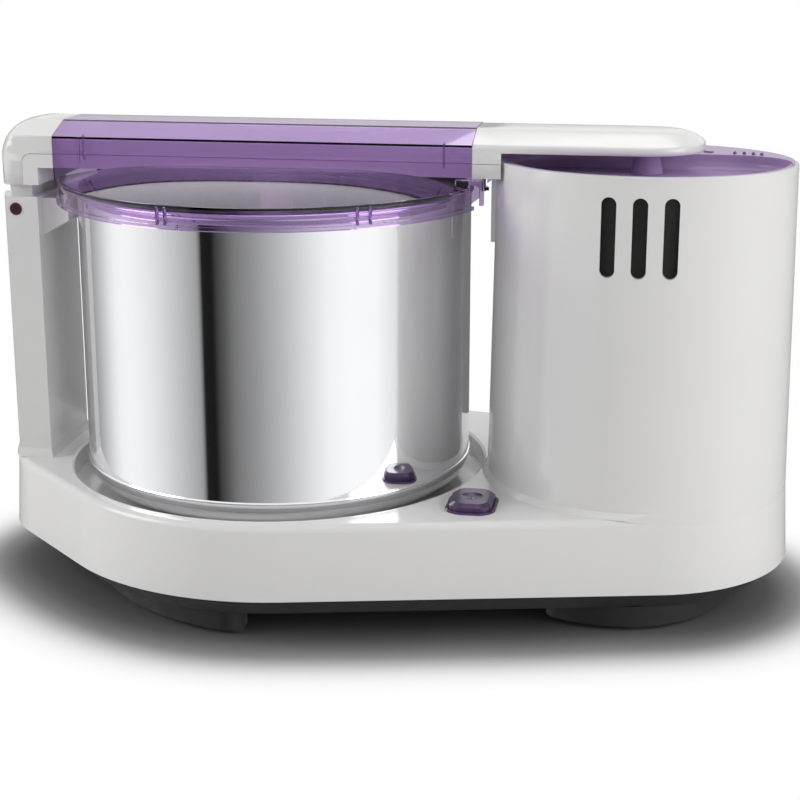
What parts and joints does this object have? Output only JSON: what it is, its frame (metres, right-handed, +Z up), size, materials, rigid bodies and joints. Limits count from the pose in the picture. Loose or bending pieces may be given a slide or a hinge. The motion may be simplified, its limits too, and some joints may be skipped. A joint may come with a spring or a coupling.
{
  "type": "table-top wet grinder",
  "caption": "Table-top wet grinder: steel drum with conical granite stones on a low base, motor tower beside it, hinged arm across the drum and a clear tinted lid.",
  "frame": {"origin": "on the floor below the middle of the base's outline", "axes": "+X from the arm's column towards the motor tower, +Y towards the back where the mains inlet is, +Z up"},
  "size_m": [0.4509, 0.261, 0.2603],
  "materials": {
    "white_plastic": "gloss warm white moulding",
    "black_plastic": "fine textured near-black moulding",
    "grey_rubber": "matt foot rubber",
    "steel_screw": "zinc plated",
    "pin_steel": "ground steel",
    "maroon_plastic": "gloss maroon cap",
    "bearing_steel": "sealed bearing",
    "motor_sheet": "painted sheet",
    "motor_lamination": "stacked laminations",
    "motor_bell": "die cast",
    "purple_satin": "satin dark purple",
    "purple_rubber": "soft rest pad",
    "belt_rubber": "reinforced belt",
    "white_nylon": "natural nylon",
    "mirror_steel": "mirror polished stainless steel",
    "granite": "dressed black granite",
    "purple_clear": "clear tinted plastic"
  },
  "bodies": {
    "base": {"body_housing": "white_plastic", "bottom_tray": "black_plastic", "foot_pad_drum_front": "grey_rubber", "foot_pad_drum_back": "grey_rubber", "foot_pad_tower_front": "grey_rubber", "foot_pad_tower_back": "grey_rubber", "tray_screw_1": "steel_screw", "tray_screw_2": "steel_screw", "tray_screw_3": "steel_screw", "tray_screw_4": "steel_screw", "arm_column": "white_plastic", "hinge_pin": "pin_steel", "hinge_cap_front": "maroon_plastic", "hinge_cap_back": "maroon_plastic", "bearing_housing": "black_plastic", "spindle_bearing_1": "bearing_steel", "spindle_bearing_2": "bearing_steel", "motor_plate": "motor_sheet", "motor_stator": "motor_lamination", "motor_bell_lower": "motor_bell", "motor_bell_upper": "motor_bell", "motor_bolt_1": "steel_screw", "motor_bolt_2": "steel_screw", "motor_bolt_3": "steel_screw", "motor_bolt_4": "steel_screw", "capacitor": "black_plastic", "capacitor_clip": "steel_screw", "vent_liner": "black_plastic", "tower_cap": "purple_satin", "arm_rest": "purple_rubber", "tower_catch": "white_plastic", "switch_bezel": "black_plastic", "switch_body": "black_plastic", "switch_spring": "pin_steel", "cord_gland": "black_plastic", "drive_belt": "belt_rubber", "stone_holder": "white_nylon", "scraper": "white_nylon", "roller_axle_1": "pin_steel", "roller_axle_2": "pin_steel"},
    "drum": {"drum_shell": "mirror_steel", "base_stone": "granite", "centre_tube": "mirror_steel", "drum_coupling": "white_nylon", "spindle": "pin_steel", "driven_pulley": "white_nylon"},
    "motor_shaft": {"motor_rotor": "motor_lamination", "motor_fan": "black_plastic", "motor_pulley": "white_nylon"},
    "roller_1": {"roller_stone_1": "granite", "roller_bush_1": "white_nylon"},
    "roller_2": {"roller_stone_2": "granite", "roller_bush_2": "white_nylon"},
    "arm": {"arm_upper": "white_plastic", "arm_lower": "white_plastic", "arm_knuckle": "white_nylon", "cup_spring": "pin_steel"},
    "cup": {"pressure_cup": "white_nylon"},
    "lid": {"clear_lid": "purple_clear"},
    "button": {"switch_button": "purple_satin"}
  },
  "joints": [
    {"name": "arm_swing", "type": "hinge", "parent": "base", "child": "arm", "pos_m": [-0.2085, 0, 0.212], "axis": [0, -1, 0], "range_deg": [0, 90]},
    {"name": "cup_press", "type": "slide", "parent": "arm", "child": "cup", "axis": [0, 0, 1], "range_m": [0, 0.004], "stiffness_N_per_m": 1200, "springref_m": -0.004, "deforming": ["cup_spring"]},
    {"name": "lid_lift", "type": "slide", "parent": "arm", "child": "lid", "axis": [0, 0, 1], "range_m": [0, 0.12]},
    {"name": "drum_spin", "type": "hinge", "parent": "base", "child": "drum", "pos_m": [-0.0665, 0, 0.06], "axis": [0, 0, 1], "continuous": true},
    {"name": "motor_spin", "type": "hinge", "parent": "base", "child": "motor_shaft", "pos_m": [0.1395, 0, 0.1], "axis": [0, 0, 1], "continuous": true},
    {"name": "roller_spin_1", "type": "hinge", "parent": "base", "child": "roller_1", "pos_m": [-0.0665, 0, 0.0844], "axis": [0.9063, 0, 0.4226], "continuous": true},
    {"name": "roller_spin_2", "type": "hinge", "parent": "base", "child": "roller_2", "pos_m": [-0.0665, 0, 0.0844], "axis": [-0.9063, 0, 0.4226], "continuous": true},
    {"name": "switch_press", "type": "slide", "parent": "base", "child": "button", "axis": [0, 0, -1], "range_m": [0, 0.0025], "stiffness_N_per_m": 500, "springref_m": -0.001, "deforming": ["switch_spring"]}
  ],
  "couplings": [
    {"joint": "motor_spin", "follows": "drum_spin", "ratio": 9.75},
    {"joint": "roller_spin_1", "follows": "drum_spin", "ratio": 2.3662},
    {"joint": "roller_spin_2", "follows": "drum_spin", "ratio": 2.3662}
  ]
}
